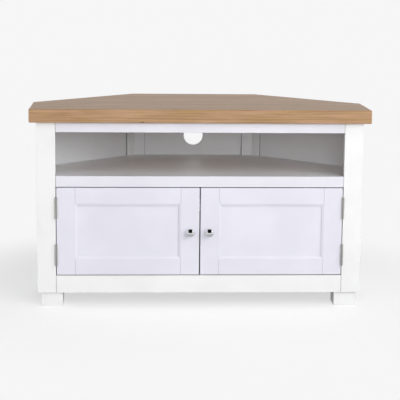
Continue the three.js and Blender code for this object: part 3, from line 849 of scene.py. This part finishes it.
class CABINET_OT_hinges(bpy.types.Operator):
    """Build the four butt hinges with rolled knuckles, countersunk holes and screws"""
    bl_idname = "cabinet.hinges"
    bl_label = "Hinges"

    def execute(self, context):
        for side, sign in SIDES.items():
            for level in ("upper", "lower"):
                self.leaf(f"{level}_hinge_frame_leaf_{side}", sign, 0)
                self.leaf(f"{level}_hinge_door_leaf_{side}", -sign, 1)
                self.pin(f"{level}_hinge_pin_{side}")
        return {"FINISHED"}

    def leaf(self, node, out_sign, parity):
        """One leaf: a drilled plate with its knuckles, and three screws that sit flush in it."""
        low, high, middle = measured(node)
        axis_y = low.y + HINGE_KNUCKLE / 2
        near = middle.x + out_sign * LEAF_GAP / 2
        bm = bmesh.new()
        holes = self.plate(bm, (near, axis_y + HINGE_KNUCKLE / 4, low.z), (near, high.y, high.z), out_sign)
        pitch = (high.z - low.z) / HINGE_KNUCKLES
        for index in range(parity, HINGE_KNUCKLES, 2):
            self.knuckle(bm, (middle.x, axis_y, low.z + (index + 0.5) * pitch), pitch - LEAF_GAP)
        stand_in(bm, node, "drilled", "nickel")
        screws(f"{node}_screws", node, holes, (-out_sign, 0, 0), settings().fitting.screw_head, "nickel",
               proud=-LEAF_SCREW_SINK)

    def plate(self, bm, low, high, out_sign):
        """The flat of a leaf, with three holes countersunk from the side that faces the other leaf."""
        low, high = Vector(low), Vector(high)
        middle = (low + high) / 2
        head = settings().fitting.screw_head
        stand = Matrix.Rotation(math.pi / 2, 4, "Y")
        sheet = bmesh.ops.create_grid(bm, x_segments=1, y_segments=1, size=0.5)["verts"]
        bmesh.ops.transform(bm, matrix=stand, verts=sheet)
        bmesh.ops.scale(bm, verts=sheet, vec=(1, high.y - low.y, high.z - low.z))
        bmesh.ops.translate(bm, verts=sheet, vec=middle)
        round_off(bm, [vert for vert in sheet if vert.co.y > middle.y], LEAF_CORNER, 4, "VERTICES")
        bmesh.ops.delete(bm, geom=list(bm.faces), context="FACES_ONLY")
        rise = (high.z - low.z) * LEAF_HOLE_RISE_SHARE
        step = (high.y - low.y) * LEAF_HOLE_STEP_SHARE
        centre = middle + Vector((0, LEAF_HOLE_SHIFT, 0))
        holes = [centre + Vector((0, step * (1 if row else -1), rise * row)) for row in (-1, 0, 1)]
        for hole in holes:
            bmesh.ops.create_circle(
                bm, cap_ends=False, segments=20, radius=head / 2, matrix=Matrix.Translation(hole) @ stand)
        bmesh.ops.triangle_fill(bm, use_beauty=True, edges=list(bm.edges))
        front = list(bm.verts)
        back = new_verts(bmesh.ops.extrude_face_region(bm, geom=list(bm.faces)))
        bmesh.ops.translate(bm, verts=back, vec=(out_sign * LEAF_THICKNESS, 0, 0))
        rims = [edge for edge in bm.edges if edge.is_boundary and edge.verts[0] in front]
        bmesh.ops.triangle_fill(bm, use_beauty=True, edges=rims)
        narrow = LEAF_HOLE / head
        for hole in holes:
            mouth = [vert for vert in back if (vert.co.yz - hole.yz).length < head / 2 + MERGE_DISTANCE]
            bmesh.ops.scale(bm, verts=mouth, vec=(1, narrow, narrow), space=Matrix.Translation(-hole))
        bmesh.ops.recalc_face_normals(bm, faces=list(bm.faces))
        return holes

    def knuckle(self, bm, middle, height):
        """One rolled knuckle with softened ends."""
        barrel = bmesh.ops.create_cone(
            bm, cap_ends=True, cap_tris=False, segments=40, radius1=HINGE_KNUCKLE / 2,
            radius2=HINGE_KNUCKLE / 2, depth=height, matrix=Matrix.Translation(middle))["verts"]
        rims = once(edge for vert in barrel for edge in vert.link_edges
                    if abs(edge.verts[0].co.z - edge.verts[1].co.z) < MERGE_DISTANCE)
        round_off(bm, rims, KNUCKLE_SOFTENING)

    def pin(self, node):
        """The hinge pin with a slightly domed head."""
        low, high, middle = measured(node)
        shank, head, rise = HINGE_PIN / 2, (high.x - low.x) / 2, PIN_HEAD_RISE
        profile = [(0, low.z), (shank, low.z), (shank, high.z - rise), (head, high.z - rise),
                   (head, high.z - rise / 2), (head * PIN_CROWN_SHARE, high.z - rise * PIN_CROWN_DROP_SHARE),
                   (0, high.z)]
        turned(node, profile, HINGE_PIN_STEPS, Matrix.Translation((middle.x, middle.y, 0)), "nickel")


KNOB_BASE = 14 * MM
KNOB_BASE_EDGE = 1.2 * MM
KNOB_BASE_CHAMFER = 0.2 * MM
KNOB_WAIST = 4.5 * MM
KNOB_WAIST_STEPS = 8
KNOB_NECK = 10 * MM
KNOB_HEAD_DEPTH = 17 * MM
KNOB_HEAD_STEPS = 28
KNOB_SCREW_SHANK = 4 * MM
KNOB_SCREW_RISE = 2.4 * MM
KNOB_SCREW_STEPS = 32
PAN_DROP_SHARE = 0.22
PAN_FLAT_SHARES = (0.86, 0.62)
PAN_RECESS_SHARE = 0.75
PAN_RECESS_RISE_SHARE = 0.16
KNOB_SCREW_RECESS = 0.9 * MM


class CABINET_OT_knobs(bpy.types.Operator):
    """Turn the two chrome knobs and their screws"""
    bl_idname = "cabinet.knobs"
    bl_label = "Knobs"

    def execute(self, context):
        for side in SIDES:
            self.knob(f"knob_{side}")
            self.screw(f"knob_screw_{side}")
        return {"FINISHED"}

    def profile(self, diameter, projection):
        """Radius and height of a knob from its seat: flange, hollow waist, neck and head."""
        base, neck, edge = KNOB_BASE / 2, KNOB_NECK / 2, KNOB_BASE_CHAMFER
        points = [(0, 0), (base - edge, 0), (base, edge), (base, KNOB_BASE_EDGE - edge),
                  (base - edge, KNOB_BASE_EDGE)]
        for step in range(1, KNOB_WAIST_STEPS):
            angle = step / KNOB_WAIST_STEPS * math.pi / 2
            rise = KNOB_WAIST - (KNOB_WAIST - KNOB_BASE_EDGE) * math.cos(angle)
            points.append((base - (base - neck) * math.sin(angle), rise))
        points.append((neck, KNOB_WAIST))
        middle = projection - KNOB_HEAD_DEPTH / 2
        start = math.asin(KNOB_NECK / diameter)
        for step in range(KNOB_HEAD_STEPS):
            angle = start + (math.pi - start) * step / KNOB_HEAD_STEPS
            points.append((diameter / 2 * math.sin(angle), middle - KNOB_HEAD_DEPTH / 2 * math.cos(angle)))
        points.append((0, projection))
        return points

    def knob(self, node):
        """One knob, its axis along Y and its seat on the door."""
        low, high, middle = measured(node)
        profile = self.profile(high.x - low.x, high.y - low.y)
        seat = facing((middle.x, high.y, middle.z), (0, -1, 0))
        turned(node, profile, settings().fitting.knob_steps, seat, "chrome")

    def screw(self, node):
        """A pan head screw behind the door, with its shank in the knob."""
        low, high, middle = measured(node)
        head, shank, rise = (high.x - low.x) / 2, KNOB_SCREW_SHANK / 2, KNOB_SCREW_RISE
        seat, flat = high.y - low.y - rise, high.y - low.y - rise * PAN_DROP_SHARE
        profile = [(0, 0), (shank, 0), (shank, seat), (head, seat), (head, seat + rise / 2),
                   *((head * share, flat) for share in PAN_FLAT_SHARES), (0, flat)]
        turned(node, profile, KNOB_SCREW_STEPS, facing((middle.x, low.y, middle.z), (0, 1, 0)), "zinc")
        screws(f"{node}_recess", node, [(middle.x, low.y + flat, middle.z)], (0, 1, 0),
               2 * head * PAN_RECESS_SHARE, proud=rise * PAN_RECESS_RISE_SHARE, recess=KNOB_SCREW_RECESS)


CATCH_FRONT_STEP = 0.8 * MM
CATCH_BRIDGE = 3.5 * MM
CATCH_SOFTENING = 0.6 * MM
CATCH_SCREW_REACH = 9 * MM
CATCH_SCREW_HEAD = 4.6 * MM
POCKET_WALL = 2.24 * MM
POCKET_DEPTH = 7 * MM
MAGNET_NEAR = 6.2 * MM
MAGNET_FAR = 19.2 * MM
MAGNET_HALF_HEIGHT = 9 * MM
MAGNET_FRONT = 1.6 * MM
MAGNET_BACK = 7.4 * MM
MAGNET_SOFTENING = 0.3 * MM
POLE_THICKNESS = 1.4 * MM
POLE_SOFTENING = 0.25 * MM
STRIKE_CORNER = 2.5 * MM
STRIKE_SOFTENING = 0.15 * MM
STRIKE_SCREW_HEAD = 5 * MM


class CABINET_OT_catch(bpy.types.Operator):
    """Build the double magnetic catch and its strike plates"""
    bl_idname = "cabinet.catch"
    bl_label = "Magnetic Catch"

    def execute(self, context):
        low, high, middle = measured("catch_body")
        self.housing(low, high)
        for side, sign in SIDES.items():
            self.magnet(side, sign, low.y, middle.z)
            self.strike(f"strike_plate_{side}")
        front = low.y + CATCH_FRONT_STEP
        places = [(0, front, middle.z + rise) for rise in (-CATCH_SCREW_REACH, CATCH_SCREW_REACH)]
        screws("catch_screws", "catch_body", places, (0, -1, 0), CATCH_SCREW_HEAD)
        return {"FINISHED"}

    def housing(self, low, high):
        """The moulded body with a pocket for each magnet."""
        bm = box_mesh((low.x, low.y + CATCH_FRONT_STEP, low.z), high)
        for x in (CATCH_BRIDGE, -CATCH_BRIDGE):
            cut(bm, (x, 0, 0), (1, 0, 0), clear=False)
        fronts = [face for face in bm.faces
                  if face.normal.y < -0.9 and abs(face.calc_center_median().x) > CATCH_BRIDGE]
        bmesh.ops.inset_individual(bm, faces=fronts, thickness=POCKET_WALL)
        pushed = bmesh.ops.extrude_discrete_faces(bm, faces=fronts)["faces"]
        pocket = once(vert for face in pushed for vert in face.verts)
        bmesh.ops.translate(bm, verts=pocket, vec=(0, POCKET_DEPTH, 0))
        round_off(bm, [edge for edge in bm.edges if can_soften(edge, CATCH_SOFTENING)], CATCH_SOFTENING, 3)
        put(bm, "catch_housing", "cabinet", "plastic", ["catch_body"])

    def magnet(self, side, sign, front, middle):
        """A magnet between two steel pole plates, in its pocket."""
        left, right = sorted((sign * MAGNET_NEAR, sign * MAGNET_FAR))
        bottom, top = middle - MAGNET_HALF_HEIGHT, middle + MAGNET_HALF_HEIGHT
        back = front + MAGNET_BACK
        bm = box_mesh((left, front + MAGNET_FRONT, bottom), (right, back, top))
        soften_all(bm, MAGNET_SOFTENING)
        put(bm, f"catch_magnet_{side}", "cabinet", "ferrite")
        bm = bmesh.new()
        for foot in (bottom - POLE_THICKNESS, top):
            box_mesh((left, front, foot), (right, back, foot + POLE_THICKNESS), bm)
        soften_all(bm, POLE_SOFTENING)
        put(bm, f"catch_poles_{side}", "cabinet", "zinc")

    def strike(self, node):
        """A thin steel plate with round corners and one screw."""
        low, high, middle = measured(node)
        bm = box_mesh(low, high)
        corners = [edge for edge in bm.edges if abs(edge.verts[0].co.y - edge.verts[1].co.y) > MERGE_DISTANCE]
        round_off(bm, corners, STRIKE_CORNER, 5)
        soften_all(bm, STRIKE_SOFTENING)
        stand_in(bm, node, "pressed", "zinc", smooth=False)
        screws(f"{node}_screw", node, [(middle.x, high.y, middle.z)], (0, 1, 0), STRIKE_SCREW_HEAD, proud=0.0)


# Stage

CAMERA_PLACE = (-0.2098, -4.239, 0.9978)
CAMERA_TURN = math.radians(2.99)
CAMERA_DIP = math.radians(9.57)
CAMERA_ROLL = math.radians(0.58)
AIM = Vector((0, -0.1, 0.32))
SHELL_REACH = 3.0
FLAG_SPAN = (-1.9, 1.55)
FLAG_FOOT = 0.1
CARD_SPAN = (1.75, 2.6)
CARD_FOOT = 0.9
CARD_GLOW = 1.4
FLOOR_PLAIN_REACH = 0.55
FLOOR_FADE_REACH = 1.1
MIRRORED_GLOW_SHARE = 0.25
WHITE = (1.0, 1.0, 1.0)
PAPER = (0.5, 0.5, 0.5)
STAGE_BLACK = "#101012"
WORLD_WHITE = "#FBFBFF"


class CABINET_OT_stage(bpy.types.Operator):
    """Lay the floor, hang the lamps and set the camera"""
    bl_idname = "cabinet.stage"
    bl_label = "Studio"

    def execute(self, context):
        studio = settings().studio
        floor = self.floor(studio)
        self.shell("studio_flag", FLAG_SPAN, FLAG_FOOT, "studio_black_cloth", {"Roughness": 0.9})
        # The card glows and lights nothing: a painted highlight that shows only in reflections
        self.shell("studio_card", CARD_SPAN, CARD_FOOT, "studio_white_card",
                   {"Emission Color": WHITE, "Emission Strength": CARD_GLOW})
        self.world(studio)
        self.lamp("front_lamp", 10, 12, 5.0, 2.6, studio.front_level)
        self.lamp("right_lamp", 42, 29, 5.5, 4.4, studio.right_level)
        self.lamp("left_lamp", -40, 14, 5.0, 2.6, studio.left_level)
        for name, azimuth in (("rear_right_lamp", 140), ("rear_left_lamp", -140)):
            self.keep_off(floor, self.lamp(name, azimuth, 0, 5.0, 1.0, studio.rear_level))
        self.camera(studio)
        context.scene.view_settings.view_transform = "Standard"
        return {"FINISHED"}

    def floor(self, studio):
        """A pale floor that keeps the shadow near the cabinet and fades into the background."""
        bm = bmesh.new()
        bmesh.ops.create_circle(bm, cap_ends=True, segments=96, radius=studio.floor_radius)
        floor = mesh_object(bm, "studio_floor", self.floor_material(studio))
        return floor

    def seen(self, tree):
        """Whether the camera sees a point, first straight, and then also in a mirror or through glass."""
        path = add(tree, "LightPath")
        either = add(tree, "Math", (path["Is Camera Ray"], path["Is Glossy Ray"]), "MAXIMUM")
        any_way = add(tree, "Math", (either[0], path["Is Transmission Ray"]), "MAXIMUM")
        return path["Is Camera Ray"], any_way[0]

    def floor_material(self, studio):
        """Matt studio paper: plain near the cabinet, and as bright as the background further out."""
        material, tree, place = start_material("studio_paper_matt")
        away = add(tree, "VectorMath", (place,), "LENGTH")["Value"]
        fade = add(tree, "MapRange", (away, FLOOR_PLAIN_REACH, FLOOR_FADE_REACH), **SMOOTH)[0]
        straight, seen = self.seen(tree)
        shown = weighted(tree, ((seen, MIRRORED_GLOW_SHARE), (straight, 1 - MIRRORED_GLOW_SHARE)))
        strength = add(tree, "Math", (shown, studio.floor_level), "MULTIPLY")[0]
        paper = add(tree, "BsdfDiffuse", (PAPER,))
        glow = add(tree, "Emission", (WHITE, strength))
        near = add(tree, "AddShader", (paper[0], glow[0]))
        far = add(tree, "Emission", (studio.backdrop, 1.0))
        amount = add(tree, "Math", (fade, seen), "MULTIPLY")[0]
        both = add(tree, "MixShader", (amount, near[0], far[0]))
        add(tree, "OutputMaterial", (both[0],))
        return material

    def shell(self, name, span, foot, material_name, inputs):
        """Black cloth in front, or a card on the right that glows brighter than white, which only polished
        metal mirrors: the card is a painted highlight.

        Each is the front of a thin sphere between two upright planes, from a height to overhead.
        """
        bm = bmesh.new()
        bmesh.ops.create_uvsphere(bm, u_segments=48, v_segments=24, radius=SHELL_REACH)
        cut(bm, (span[0], 0, 0), (1, 0, 0))
        cut(bm, (span[1], 0, 0), (-1, 0, 0))
        cut(bm, (0, 0, foot), (0, 0, 1))
        cut(bm, ORIGIN, (0, -1, 0))
        material = start_material(material_name)[0]
        end_material(material, {"Base Color": linear(STAGE_BLACK), **inputs})
        shell = mesh_object(bm, name, material)
        shell.visible_camera = shell.visible_diffuse = False
        shell.visible_shadow = shell.visible_transmission = False

    def world(self, studio):
        """Even light from all round, and the backdrop's own colour for what looks at it."""
        world = bpy.data.worlds.new("studio_world")
        world.use_nodes = True
        tree = world.node_tree
        tree.nodes.clear()
        light = add(tree, "Background", (linear(WORLD_WHITE), studio.world_level))
        view = add(tree, "Background", (studio.backdrop, 1.0))
        both = add(tree, "MixShader", (self.seen(tree)[1], light[0], view[0]))
        add(tree, "OutputWorld", (both[0],))
        bpy.context.scene.world = world

    def lamp(self, name, azimuth, height, distance, size, level):
        """A square soft lamp aimed at the doors. Azimuth runs from the front towards +X, in degrees."""
        data = bpy.data.lights.new(name, "AREA")
        data.shape = "SQUARE"
        data.size = size
        data.energy = level * math.pi ** 2 * distance ** 2
        turn, rise = math.radians(azimuth), math.radians(height)
        out = Vector((math.cos(rise) * math.sin(turn), -math.cos(rise) * math.cos(turn), math.sin(rise)))
        lamp = place_object(name, data)
        lamp.visible_glossy = False
        lamp.location = AIM + out * distance
        lamp.rotation_euler = out.to_track_quat("Z", "Y").to_euler()
        return lamp

    def keep_off(self, floor, lamp):
        """Keep a lamp's light off the floor, so that it casts no shadow towards the viewer."""
        spared = bpy.data.collections.new(f"{lamp.name}_receivers")
        spared.objects.link(floor)
        lamp.light_linking.receiver_collection = spared
        spared.collection_objects[0].light_linking.link_state = "EXCLUDE"

    def camera(self, studio):
        """The photograph's viewpoint."""
        data = bpy.data.cameras.new("camera")
        data.lens = studio.lens
        camera = place_object("camera", data)
        camera.matrix_world = (
            Matrix.Translation(CAMERA_PLACE)
            @ Matrix.Rotation(-CAMERA_TURN, 4, "Z")
            @ Matrix.Rotation(math.pi / 2 - CAMERA_DIP, 4, "X")
            @ Matrix.Rotation(CAMERA_ROLL, 4, "Z"))
        bpy.context.scene.camera = camera


OPERATORS = (
    CABINET_OT_oak_top,
    CABINET_OT_face_frame,
    CABINET_OT_walls,
    CABINET_OT_boards,
    CABINET_OT_battens,
    CABINET_OT_feet,
    CABINET_OT_doors,
    CABINET_OT_hinges,
    CABINET_OT_knobs,
    CABINET_OT_catch,
    CABINET_OT_stage,
)


class CABINET_PT_sidebar(bpy.types.Panel):
    """The cabinet's operators and settings"""
    bl_idname = "CABINET_PT_sidebar"
    bl_label = "Corner Television Cabinet"
    bl_space_type = "VIEW_3D"
    bl_region_type = "UI"
    bl_category = "Cabinet"

    def draw(self, context):
        for operator in OPERATORS:
            self.layout.operator(operator.bl_idname)
        for group in (settings().oak, settings().paint, settings().fitting, settings().studio):
            box = self.layout.box()
            for name in group.__annotations__:
                box.prop(group, name)


CLASSES = (
    OakSettings, PaintSettings, FittingSettings, StudioSettings, CabinetSettings,
    *OPERATORS, CABINET_PT_sidebar,
)


def register():
    for item in CLASSES:
        bpy.utils.register_class(item)
    bpy.types.Scene.cabinet = PointerProperty(type=CabinetSettings)


def unregister():
    del bpy.types.Scene.cabinet
    for item in reversed(CLASSES):
        bpy.utils.unregister_class(item)


def main():
    """Build the cabinet and its studio."""
    register()
    for operator in OPERATORS:
        group, name = operator.bl_idname.split(".")
        getattr(getattr(bpy.ops, group), name)()


if __name__ == "__main__":
    main()
